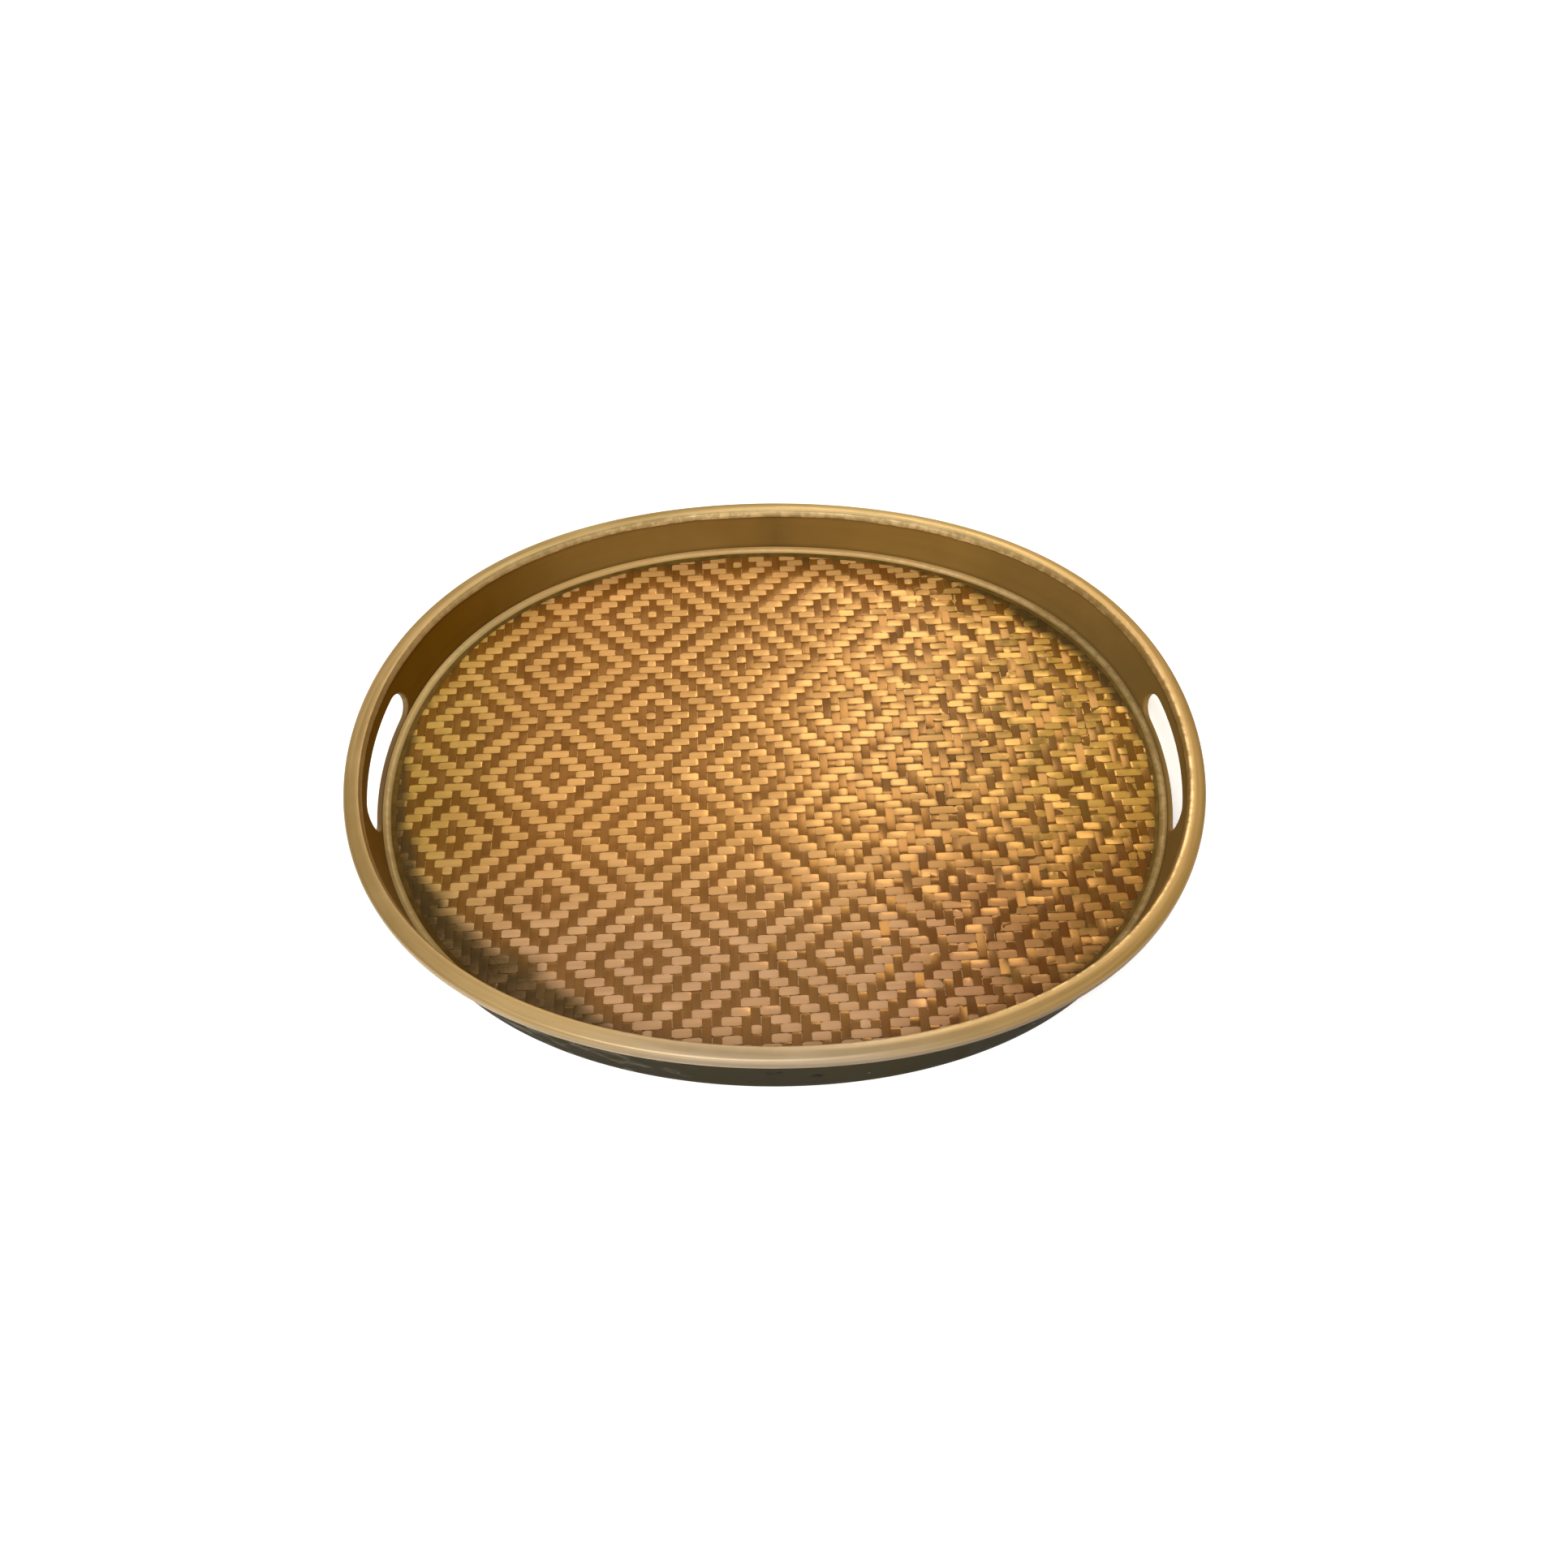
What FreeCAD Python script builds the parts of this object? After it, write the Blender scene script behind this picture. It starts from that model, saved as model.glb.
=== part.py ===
"""Oval serving tray: bent wooden wall, gold cap moulding and a woven splint floor.

Millimetres. +X runs along the tray's length, +Y across it, +Z up. The origin is the
centre of the footprint, on the plane that the tray rests on. Every ring of the tray is
the same rounded oval, moved inwards by an inset measured from the rim's outer edge.
"""

import FreeCAD
import Part

import os
from math import cos, sin, pi, radians, floor

# Plan of the rim's outer edge
RIM_LENGTH = 480.0
RIM_WIDTH = 380.0
SHOULDER = 0.058            # how much fuller than an ellipse the oval is at its shoulders

# Heights above the table
TRAY_HEIGHT = 50.0
WALL_TOP = 48.0
RIM_BOTTOM = 42.0
CLEAT_BOTTOM = 4.2
BOARD_BOTTOM = 9.2
BOARD_TOP = 14.2

# Wall: a bent strip under the inner part of the rim, leaning in towards its foot at the
# two ends of the tray and upright along the two sides
WALL_THICKNESS = 3.0
RIM_SECTION_WIDTH = 9.6
RIM_OVERHANG = 5.8          # how far the rim reaches outside the wall
LIP_BOTTOM = 45.4           # the rim's thin inner lip laps down over the wall to here
END_LEAN = 0.14             # inset gained per millimetre of height, at the ends
FOOT_TRIM = 2.0             # length trimmed off the bent strip to make its foot flat

# Hand slots through the ends of the wall
SLOT_LENGTH = 92.0
SLOT_HEIGHT = 18.8
SLOT_BOTTOM = 18.6
SLOT_CUTTER_DEPTH = 60.0

# Floor board and the pieces that hold it
BOARD_CLEARANCE = 0.2
CLEAT_WIDTH = 6.0
PIN_COUNT = 16
PIN_RADIUS = 0.7
PIN_LENGTH = 15.0
PIN_SET_BELOW_SURFACE = 0.4

# Woven mat: one layer of warp splints and one layer of weft splints
SPLINT_PITCH = 5.1
SPLINT_WIDTH = 4.8
SPLINT_THICKNESS = 0.7
MAT_TURN_DEGREES = 3.0      # the weave lies slightly askew in the tray
MAT_CENTRE_X = -75.6        # middle of one diamond of the weave
MAT_CENTRE_Y = 41.5
MAT_EDGE_CLEARANCE = 1.0
SHORTEST_SPLINT = 8.0
MAT_TOP = BOARD_TOP + 2.0 * SPLINT_THICKNESS

# Bead that covers the mat's edge
BEAD_WIDTH = 4.0
BEAD_HEIGHT = 2.4
BEAD_FLAT = 1.0

STATIONS_PER_HALF = 25
OUTLINE_POINTS = 360
PART_FOLDER = "parts"


def oval_point(inset, height, angle):
    """Point on the oval that lies inset inside the rim's outer edge."""
    c = cos(angle)
    s = sin(angle)
    x = (RIM_LENGTH / 2 - inset) * c * (1 + SHOULDER * s * s)
    y = (RIM_WIDTH / 2 - inset) * s * (1 + SHOULDER * c * c)
    return FreeCAD.Vector(x, y, height)


def wall_outside(height, angle):
    """Inset of the wall's outer face."""
    return RIM_OVERHANG + END_LEAN * cos(angle) ** 2 * (WALL_TOP - height)


def wall_inside(height, angle):
    """Inset of the wall's inner face."""
    return wall_outside(height, angle) + WALL_THICKNESS


def section_wire(section, angle):
    """Closed wire of one cross-section: (inset, height) points joined by lines and arcs.

    An entry with two numbers is the end of a straight line, and one with four is the
    middle and the end of an arc.
    """
    entries = section(angle)
    start = oval_point(*entries[0], angle)
    first = start
    edges = []
    for entry in entries[1:]:
        end = oval_point(*entry[-2:], angle)
        if len(entry) == 4:
            middle = oval_point(*entry[:2], angle)
            edges.append(Part.Arc(start, middle, end).toShape())
        else:
            edges.append(Part.makeLine(start, end))
        start = end
    edges.append(Part.makeLine(start, first))
    return Part.Wire(edges)


def ring_half(section, first_degrees):
    """Half of a ring: the section carried through 180 degrees of the oval."""
    wires = []
    for station in range(STATIONS_PER_HALF):
        turn = 180.0 * station / (STATIONS_PER_HALF - 1)
        wires.append(section_wire(section, radians(first_degrees + turn)))
    return Part.makeLoft(wires, True, False)


def wall_section(angle):
    """The bent strip before its foot is trimmed at the table."""
    return [
        (wall_outside(-FOOT_TRIM, angle), -FOOT_TRIM),
        (wall_outside(WALL_TOP, angle), WALL_TOP),
        (wall_inside(WALL_TOP, angle), WALL_TOP),
        (wall_inside(-FOOT_TRIM, angle), -FOOT_TRIM),
    ]


def wall_half(first_degrees, side, pin_holes):
    """Half of the wall: trimmed flat at its foot, with its hand slot and pin holes."""
    strip = ring_half(wall_section, first_degrees)
    below_table = Part.makeBox(RIM_LENGTH, RIM_WIDTH, 2 * FOOT_TRIM)
    below_table.translate(FreeCAD.Vector(-RIM_LENGTH / 2, -RIM_WIDTH / 2, -2 * FOOT_TRIM))
    return strip.cut(below_table).cut(slot_cutter(side)).cut(pin_holes)


def rim_section(angle):
    """Rounded cap moulding with a groove that drops over the wall's top edge."""
    inner = RIM_SECTION_WIDTH
    return [
        (wall_outside(RIM_BOTTOM, angle), RIM_BOTTOM),
        (2.0, RIM_BOTTOM),
        (0.55, RIM_BOTTOM + 0.6, 0.0, RIM_BOTTOM + 2.0),
        (0.0, TRAY_HEIGHT - 2.8),
        (0.75, TRAY_HEIGHT - 0.9, 2.6, TRAY_HEIGHT - 0.15),
        (5.0, TRAY_HEIGHT, inner - 2.0, TRAY_HEIGHT - 0.35),
        (inner - 0.5, TRAY_HEIGHT - 1.2, inner, TRAY_HEIGHT - 2.8),
        (inner, LIP_BOTTOM + 0.4),
        (wall_inside(LIP_BOTTOM, angle), LIP_BOTTOM),
        (wall_inside(WALL_TOP, angle), WALL_TOP),
        (wall_outside(WALL_TOP, angle), WALL_TOP),
    ]


def bead_section(angle):
    """Small quarter-round strip in the corner between the mat and the wall."""
    foot = wall_inside(MAT_TOP, angle)
    top = MAT_TOP + BEAD_HEIGHT
    back = wall_inside(top, angle)
    return [
        (foot, MAT_TOP),
        (back, top),
        (back + BEAD_FLAT, top),
        (foot + 0.80 * BEAD_WIDTH, MAT_TOP + 0.68 * BEAD_HEIGHT, foot + BEAD_WIDTH, MAT_TOP),
    ]


def cleat_section(angle):
    foot = wall_inside(CLEAT_BOTTOM, angle)
    return [
        (foot, CLEAT_BOTTOM),
        (wall_inside(BOARD_BOTTOM, angle), BOARD_BOTTOM),
        (foot + CLEAT_WIDTH, BOARD_BOTTOM),
        (foot + CLEAT_WIDTH, CLEAT_BOTTOM),
    ]


def slot_cutter(side):
    """Stadium-shaped bar through one end of the wall; side is -1 or +1."""
    radius = SLOT_HEIGHT / 2
    straight = SLOT_LENGTH / 2 - radius
    middle = SLOT_BOTTOM + radius
    x = side * (RIM_LENGTH / 2 - SLOT_CUTTER_DEPTH / 2) - SLOT_CUTTER_DEPTH / 2
    corners = [
        FreeCAD.Vector(x, -straight, middle - radius),
        FreeCAD.Vector(x, straight, middle - radius),
        FreeCAD.Vector(x, straight, middle + radius),
        FreeCAD.Vector(x, -straight, middle + radius),
    ]
    far_end = FreeCAD.Vector(x, straight + radius, middle)
    near_end = FreeCAD.Vector(x, -straight - radius, middle)
    outline = Part.Wire([
        Part.makeLine(corners[0], corners[1]),
        Part.Arc(corners[1], far_end, corners[2]).toShape(),
        Part.makeLine(corners[2], corners[3]),
        Part.Arc(corners[3], near_end, corners[0]).toShape(),
    ])
    return Part.Face(outline).extrude(FreeCAD.Vector(SLOT_CUTTER_DEPTH, 0, 0))


def board():
    """Oval board that fits inside the wall and rests on the cleats."""
    points = []
    for step in range(2 * STATIONS_PER_HALF):
        angle = pi * step / STATIONS_PER_HALF
        inset = wall_inside(BOARD_BOTTOM, angle) + BOARD_CLEARANCE
        points.append(oval_point(inset, BOARD_BOTTOM, angle))
    outline = Part.BSplineCurve()
    outline.interpolate(points, PeriodicFlag=True)
    face = Part.Face(Part.Wire([outline.toShape()]))
    return face.extrude(FreeCAD.Vector(0, 0, BOARD_TOP - BOARD_BOTTOM))


def pin_at(index, extra_length):
    """Brad driven inwards through the wall into the board's edge.

    extra_length makes it start further out, as the drill does.
    """
    angle = 2 * pi * (index + 0.5) / PIN_COUNT
    height = (BOARD_BOTTOM + BOARD_TOP) / 2
    outside = oval_point(wall_outside(height, angle), height, angle)
    ahead = oval_point(wall_outside(height, angle + 0.01), height, angle + 0.01)
    along = ahead.sub(outside)
    inwards = FreeCAD.Vector(-along.y, along.x, 0).normalize()
    start = outside.add(inwards * (PIN_SET_BELOW_SURFACE - extra_length))
    return Part.makeCylinder(PIN_RADIUS, PIN_LENGTH + extra_length, start, inwards)


def mat_outline():
    points = []
    for step in range(OUTLINE_POINTS):
        angle = 2 * pi * step / OUTLINE_POINTS
        inset = wall_inside(BOARD_TOP, angle) + MAT_EDGE_CLEARANCE
        points.append(oval_point(inset, 0.0, angle))
    return points


def chord(outline, along, across, offset):
    """Where the line at an offset across enters and leaves the outline, measured along."""
    crossings = []
    for index, point in enumerate(outline):
        following = outline[(index + 1) % len(outline)]
        here = point.dot(across) - offset
        there = following.dot(across) - offset
        if here * there < 0:
            share = here / (here - there)
            crossings.append((point + (following - point) * share).dot(along))
    if len(crossings) < 2:
        return 0.0, 0.0
    return min(crossings), max(crossings)


def splint_layer(direction_degrees, bottom):
    """One layer of parallel flat splints, each cut to the length that the oval allows."""
    turn = radians(direction_degrees)
    along = FreeCAD.Vector(cos(turn), sin(turn), 0)
    across = FreeCAD.Vector(-sin(turn), cos(turn), 0)
    middle = FreeCAD.Vector(MAT_CENTRE_X, MAT_CENTRE_Y, 0).dot(across)
    outline = mat_outline()
    first = -floor((RIM_LENGTH / 2 + middle) / SPLINT_PITCH)
    last = floor((RIM_LENGTH / 2 - middle) / SPLINT_PITCH)
    splints = []
    for index in range(first, last + 1):
        offset = middle + index * SPLINT_PITCH
        low_edge = chord(outline, along, across, offset - SPLINT_WIDTH / 2)
        high_edge = chord(outline, along, across, offset + SPLINT_WIDTH / 2)
        start = max(low_edge[0], high_edge[0])
        length = min(low_edge[1], high_edge[1]) - start
        if length < SHORTEST_SPLINT:
            continue
        splint = Part.makeBox(length, SPLINT_WIDTH, SPLINT_THICKNESS)
        splint.translate(FreeCAD.Vector(start, offset - SPLINT_WIDTH / 2, bottom))
        splint.rotate(FreeCAD.Vector(0, 0, 0), FreeCAD.Vector(0, 0, 1), direction_degrees)
        splints.append(splint)
    return Part.makeCompound(splints)


def build_parts():
    """Every piece of the tray, by the name of its node."""
    pins = [pin_at(index, 0.0) for index in range(PIN_COUNT)]
    pin_holes = Part.makeCompound([pin_at(index, 4.0) for index in range(PIN_COUNT)])
    parts = {
        "wall_left_half": wall_half(90, -1, pin_holes),
        "wall_right_half": wall_half(-90, 1, pin_holes),
        "rim_left_half": ring_half(rim_section, 90),
        "rim_right_half": ring_half(rim_section, -90),
        "floor_board": board().cut(pin_holes),
        "cleat_back_half": ring_half(cleat_section, 0),
        "cleat_front_half": ring_half(cleat_section, 180),
        "mat_warp_splints": splint_layer(90 + MAT_TURN_DEGREES, BOARD_TOP),
        "mat_weft_splints": splint_layer(MAT_TURN_DEGREES, BOARD_TOP + SPLINT_THICKNESS),
        "bead_back_half": ring_half(bead_section, 0),
        "bead_front_half": ring_half(bead_section, 180),
        "board_pins": Part.makeCompound(pins),
    }
    return parts


def main():
    os.makedirs(PART_FOLDER, exist_ok=True)
    for name, shape in build_parts().items():
        shape.exportStep(os.path.join(PART_FOLDER, name + ".step"))


main()
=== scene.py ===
"""Oval serving tray with a bent wall, a gold cap moulding and a woven splint floor.

Metres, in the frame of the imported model: +X along the tray, +Y across it, +Z up. The main
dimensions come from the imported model, and the smaller ones are written in millimetres.
"""

import math

import bpy
import numpy as np
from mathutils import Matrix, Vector


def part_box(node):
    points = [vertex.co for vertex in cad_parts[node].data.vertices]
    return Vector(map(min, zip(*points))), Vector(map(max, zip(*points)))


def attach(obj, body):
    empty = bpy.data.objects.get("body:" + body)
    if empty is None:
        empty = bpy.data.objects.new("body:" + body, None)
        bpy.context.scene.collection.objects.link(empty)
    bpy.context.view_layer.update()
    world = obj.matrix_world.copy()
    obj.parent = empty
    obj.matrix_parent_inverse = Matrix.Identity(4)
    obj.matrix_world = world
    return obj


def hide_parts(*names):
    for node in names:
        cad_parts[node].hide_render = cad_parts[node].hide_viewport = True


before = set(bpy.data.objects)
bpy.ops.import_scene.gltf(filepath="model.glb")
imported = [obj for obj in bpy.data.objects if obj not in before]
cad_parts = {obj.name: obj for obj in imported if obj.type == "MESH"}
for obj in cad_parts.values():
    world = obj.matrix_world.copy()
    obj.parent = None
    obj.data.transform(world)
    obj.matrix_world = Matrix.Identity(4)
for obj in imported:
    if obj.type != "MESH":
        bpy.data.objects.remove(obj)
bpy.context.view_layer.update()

# ---- dimensions ----

MM = 0.001
TAU = 2 * math.pi

HALF_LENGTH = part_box("rim_right_half")[1].x / MM
HALF_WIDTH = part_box("rim_right_half")[1].y / MM
TRAY_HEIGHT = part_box("rim_right_half")[1].z / MM
WALL_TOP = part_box("wall_right_half")[1].z / MM
RIM_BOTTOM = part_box("rim_right_half")[0].z / MM
BOARD_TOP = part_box("floor_board")[1].z / MM
MAT_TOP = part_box("mat_weft_splints")[1].z / MM
BEAD_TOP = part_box("bead_front_half")[1].z / MM
PIN_HEIGHT = (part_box("floor_board")[0].z / MM + BOARD_TOP) / 2
MEAN_RADIUS = (HALF_LENGTH + HALF_WIDTH) / 2

SHOULDER = 0.058  # how much fuller than an ellipse the oval is
RIM_SECTION_WIDTH = 9.6
WALL_THICKNESS = 3.0
RIM_OVERHANG = 5.8  # how far the rim reaches outside the wall
LIP_BOTTOM = 45.4  # the rim's inner lip laps down over the wall to about here
END_LEAN = 0.14  # inset gained per millimetre of height at the ends

SLOT_HALF_LENGTH = 46.0
SLOT_RADIUS = 9.4
SLOT_MIDDLE = 28.0
SLOT_EDGE_ROUND = 0.9
FOOT_ROUND = 0.7

BEAD_WIDTH = 4.0

SPLINT_PITCH = 5.1
SPLINT_THICKNESS = 0.36  # what shows of a splint under its lacquer
MAT_TURN = math.radians(3.0)
MAT_CENTRE = (-75.6, 41.5)  # middle of one diamond of the weave
MAT_EDGE_CLEARANCE = 1.0

PIN_COUNT = 16


def oval(inset, angle):
    """Plan position, in mm, of a point that lies inset inside the rim's outer edge."""
    c = np.cos(angle)
    s = np.sin(angle)
    x = (HALF_LENGTH - inset) * c * (1 + SHOULDER * s * s)
    y = (HALF_WIDTH - inset) * s * (1 + SHOULDER * c * c)
    return x, y


def wall_outside(height, angle):
    """Inset of the wall's outer face, which leans in towards its foot at the ends."""
    return RIM_OVERHANG + END_LEAN * np.cos(angle) ** 2 * (WALL_TOP - height)


def wall_inside(height, angle):
    """Inset of the wall's inner face."""
    return wall_outside(height, angle) + WALL_THICKNESS


def arc(start, middle, end, count):
    """Points after start, up to and with end, on the circle through the three points."""
    (ax, ay), (bx, by), (cx, cy) = start, middle, end
    d = 2 * (ax * (by - cy) + bx * (cy - ay) + cx * (ay - by))
    a2, b2, c2 = ax * ax + ay * ay, bx * bx + by * by, cx * cx + cy * cy
    ux = (a2 * (by - cy) + b2 * (cy - ay) + c2 * (ay - by)) / d
    uy = (a2 * (cx - bx) + b2 * (ax - cx) + c2 * (bx - ax)) / d
    radius = math.hypot(ax - ux, ay - uy)
    first = math.atan2(ay - uy, ax - ux)
    middle_turn = (math.atan2(by - uy, bx - ux) - first) % TAU
    turn = (math.atan2(cy - uy, cx - ux) - first) % TAU
    if middle_turn > turn:
        turn -= TAU
    steps = [first + turn * (k + 1) / count for k in range(count)]
    return [(ux + radius * math.cos(t), uy + radius * math.sin(t)) for t in steps]


WAVE_GAIN = 1.6  # brings the mean of several sines back to about -1 to 1


def waves(angle, seed, low, high, count):
    """Smooth irregular wave round the oval, about -1 to 1, of count harmonics."""
    rng = np.random.default_rng(seed)
    harmonics = rng.integers(low, high + 1, count)
    phases = rng.uniform(0, TAU, count)
    weights = rng.uniform(0.5, 1.0, count)
    total = sum(w * np.sin(h * angle + p) for h, p, w in zip(harmonics, phases, weights))
    return total / weights.sum() * WAVE_GAIN


def lobe(angle, centre_degrees, width_degrees):
    """Bump round one direction of the plan, 1 at its centre."""
    away = (angle - math.radians(centre_degrees) + math.pi) % TAU - math.pi
    return np.exp(-(away / math.radians(width_degrees)) ** 2)


def hump(value, middle, width):
    """Bump along a line, 1 at its middle."""
    return np.exp(-((value - middle) / width) ** 2)


# ---- meshes ----

def new_object(name, data):
    """Object in the scene's own collection."""
    made = bpy.data.objects.new(name, data)
    bpy.context.scene.collection.objects.link(made)
    return made


def make_piece(name, points, faces, uvs, materials, replaced=(), face_material=None,
               values=None, sharp_degrees=42.0):
    """Mesh object from points in mm, with a UV in metres and named numbers at each point."""
    mesh = bpy.data.meshes.new(name)
    mesh.from_pydata((np.asarray(points, float) * MM).tolist(), [], faces)
    uv_layer = mesh.uv_layers.new(name="along")
    corner_points = np.zeros(len(mesh.loops), int)
    mesh.loops.foreach_get("vertex_index", corner_points)
    uv_layer.data.foreach_set("uv", (np.asarray(uvs, float)[corner_points] * MM).ravel())
    for key, numbers in (values or {}).items():
        layer = mesh.attributes.new(key, "FLOAT", "POINT")
        layer.data.foreach_set("value", np.asarray(numbers, np.float32))
    for item in materials:
        mesh.materials.append(item)
    if face_material is not None:
        mesh.polygons.foreach_set("material_index", np.asarray(face_material, np.int32))
    mesh.polygons.foreach_set("use_smooth", np.ones(len(mesh.polygons), bool))
    mesh.set_sharp_from_angle(angle=math.radians(sharp_degrees))
    mesh.update()
    piece = new_object(name, mesh)
    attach(piece, "root")
    if replaced:
        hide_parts(*replaced)
    return piece


def sweep(name, section, start, stations, materials, replaced=(), values=None):
    """Closed section carried round half of the oval, with flat ends.

    It starts at a share of a turn. section(angle) gives (inset, height) points, and values
    maps a name to a function of (angle, point number) arrays.
    """
    angles = np.linspace(start * TAU, (start + 0.5) * TAU, stations)
    rows = np.array([section(a) for a in angles])
    count = rows.shape[1]
    x, y = oval(rows[:, :, 0], angles[:, None])
    points = np.stack([x, y, rows[:, :, 1]], axis=2).reshape(-1, 3)
    mx, my = oval(RIM_OVERHANG, angles)
    run = np.concatenate([[0], np.cumsum(np.hypot(np.diff(mx), np.diff(my)))])
    girth = np.concatenate([[0], np.cumsum(np.hypot(*np.diff(rows[0], axis=0).T))])
    u, v = np.meshgrid(run + angles[0] * MEAN_RADIUS, girth, indexing="ij")
    faces = []
    for s in range(stations - 1):
        for p in range(count):
            q = (p + 1) % count
            a, b = s * count, (s + 1) * count
            faces.append((a + p, a + q, b + q, b + p))
    faces += [tuple(reversed(range(count))), tuple(range((stations - 1) * count, stations * count))]
    a, p = np.meshgrid(angles, np.arange(count), indexing="ij")
    numbers = {key: f(a, p).ravel() for key, f in (values or {}).items()}
    uvs = np.stack([u.ravel(), v.ravel()], axis=1)
    return make_piece(name, points, faces, uvs, materials, replaced, values=numbers)


# ---- materials ----

class Graph:
    """A material and the few node calls that it needs."""

    def __init__(self, name):
        self.material = bpy.data.materials.new(name)
        self.material.use_nodes = True
        self.tree = self.material.node_tree
        self.tree.nodes.clear()
        self.shader = self.tree.nodes.new("ShaderNodeBsdfPrincipled")
        output = self.tree.nodes.new("ShaderNodeOutputMaterial")
        self.tree.links.new(self.shader.outputs[0], output.inputs[0])

    def put(self, socket, value):
        """Link value to socket, or set it as the socket's own number or colour."""
        if isinstance(value, bpy.types.NodeSocket):
            self.tree.links.new(value, socket)
        elif value is not None:
            if isinstance(value, tuple) and len(value) + 1 == len(socket.default_value):
                value = (*value, 1.0)
            socket.default_value = value

    def node(self, kind, inputs=None, **settings):
        made = self.tree.nodes.new("ShaderNode" + kind)
        for key, value in settings.items():
            setattr(made, key, value)
        for key, value in (inputs or {}).items():
            self.put(made.inputs[key], value)
        return made

    def uv(self, along=1.0, across=1.0):
        """UV in metres, stretched so that a texture scale means cells per metre."""
        coordinate = self.node("UVMap", uv_map="along").outputs[0]
        return self.stretched(coordinate, (along, across, 1.0))

    def place(self, x=1.0, y=1.0, z=1.0):
        """Object coordinate in metres, stretched in the same way."""
        coordinate = self.node("TexCoord").outputs["Object"]
        return self.stretched(coordinate, (x, y, z))

    def stretched(self, vector, scale):
        return self.node("Mapping", {"Vector": vector, "Scale": scale}).outputs[0]

    def axis(self, letter):
        """Object coordinate along X, Y or Z, in metres."""
        coordinate = self.node("TexCoord").outputs["Object"]
        return self.node("SeparateXYZ", {0: coordinate}).outputs[letter]

    def streak(self, along, across):
        """Coordinate for streaks that run round the oval and meet at its joints."""
        coordinate = self.node("UVMap", uv_map="along").outputs[0]
        side = self.node("SeparateXYZ", {0: coordinate})
        parts = {0: self.times(self.axis("X"), along),
                 1: self.times(self.axis("Y"), along),
                 2: self.times(side.outputs["Y"], across)}
        return self.node("CombineXYZ", parts).outputs[0]

    def attribute(self, name):
        return self.node("Attribute", attribute_name=name).outputs["Fac"]

    def noise(self, vector, scale, detail=3.0, rough=0.55, warp=0.0):
        inputs = {"Vector": vector, "Scale": scale, "Detail": detail, "Roughness": rough,
                  "Distortion": warp}
        return self.node("TexNoise", inputs).outputs["Fac"]

    def cloud(self, scale, *more):
        """Noise in the object's own space, scale cells to the metre."""
        return self.noise(self.place(), scale, *more)

    def math(self, operation, a, b=None):
        made = self.node("Math", {0: a}, operation=operation)
        self.put(made.inputs[1], b)
        return made.outputs[0]

    def times(self, a, b):
        return self.math("MULTIPLY", a, b)

    def band(self, value, low, high, to_low=0.0, to_high=1.0):
        """Smooth step from to_low, where value is low, to to_high, where it is high."""
        inputs = {"Value": value, "From Min": low, "From Max": high,
                  "To Min": to_low, "To Max": to_high}
        return self.node("MapRange", inputs, interpolation_type="SMOOTHSTEP").outputs[0]

    def mix(self, share, a, b, kind="MIX"):
        made = self.node("Mix", data_type="RGBA", blend_type=kind)
        self.put(made.inputs["Factor"], share)
        self.put(made.inputs[6], a)
        self.put(made.inputs[7], b)
        return made.outputs[2]

    def tinted(self, colour, tints):
        """Colour multiplied by tints, each growing in along X or Y from start to full."""
        for letter, start, full, tint in tints:
            colour = self.mix(self.band(self.axis(letter), start, full), colour, tint, "MULTIPLY")
        return colour

    def tipped(self, name):
        """The surface's normal, leaning by the amounts stored in two attributes."""
        normal = self.node("NewGeometry").outputs["Normal"]
        amounts = {0: self.attribute(f"{name}_x"), 1: self.attribute(f"{name}_y")}
        lean = self.node("CombineXYZ", amounts)
        total = self.node("VectorMath", {0: normal, 1: lean.outputs[0]}, operation="ADD")
        unit = self.node("VectorMath", {0: total.outputs[0]}, operation="NORMALIZE")
        return unit.outputs[0]

    def finish(self, colour, rough, height=None, strength=0.2, depth=0.0003, normal=None, **fixed):
        """Connect the shader: bump of the given strength and depth in metres from height."""
        self.put(self.shader.inputs["Base Color"], colour)
        self.put(self.shader.inputs["Roughness"], rough)
        if height is not None:
            inputs = {"Strength": strength, "Distance": depth, "Height": height}
            if normal is not None:
                inputs["Normal"] = normal
            bump = self.node("Bump", inputs)
            self.put(self.shader.inputs["Normal"], bump.outputs[0])
        for key, value in fixed.items():
            self.shader.inputs[key.replace("_", " ")].default_value = value
        return self.material


# Colours are linear RGB. A grey triple stands for a roughness that is mixed like a colour.
NO_TINT = (1.0, 1.0, 1.0)
GOLD_PAINTED_SHADE = (0.105, 0.062, 0.020)
HIGHLIGHT_GOLD = (1.0, 0.82, 0.46)
WORN_ROUGHNESS = (0.26, 0.26, 0.26)
SHADE_ROUGHNESS = (0.95, 0.95, 0.95)
INNER_BROWNS = ((0.262, 0.150, 0.033), (0.305, 0.178, 0.041))
INNER_GRAIN = (0.205, 0.112, 0.022)
INNER_SHADE_AND_GRIME = (0.050, 0.026, 0.007)
OUTER_BLACKS = ((0.025, 0.0198, 0.0075), (0.036, 0.0285, 0.0125))
OUTER_SPOT = (0.060, 0.048, 0.030)
OUTER_SCUFF = (0.165, 0.150, 0.120)
OUTER_DAB = (0.006, 0.006, 0.005)
OUTER_SHADE_AND_GRIME = (0.010, 0.008, 0.005)
SPLINT_DARK_PATCH = (0.110, 0.070, 0.010)
SPLINT_GAP_SHADE = (0.030, 0.015, 0.004)
SPLINT_WALL_SHADOW = (0.054, 0.034, 0.010)
SPLINT_GLINT = (1.0, 0.58, 0.19, 1.0)
SPLINT_COAT = (1.0, 0.9, 0.7, 1.0)
RIGHT_FRONT_TINT = (0.79, 0.64, 0.63)
SHADOW_STRIP_BROWNS = ((0.090, 0.050, 0.009), (0.130, 0.076, 0.016))
UNDERSIDE_BLACKS = ((0.018, 0.014, 0.009), (0.046, 0.034, 0.020))
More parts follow.
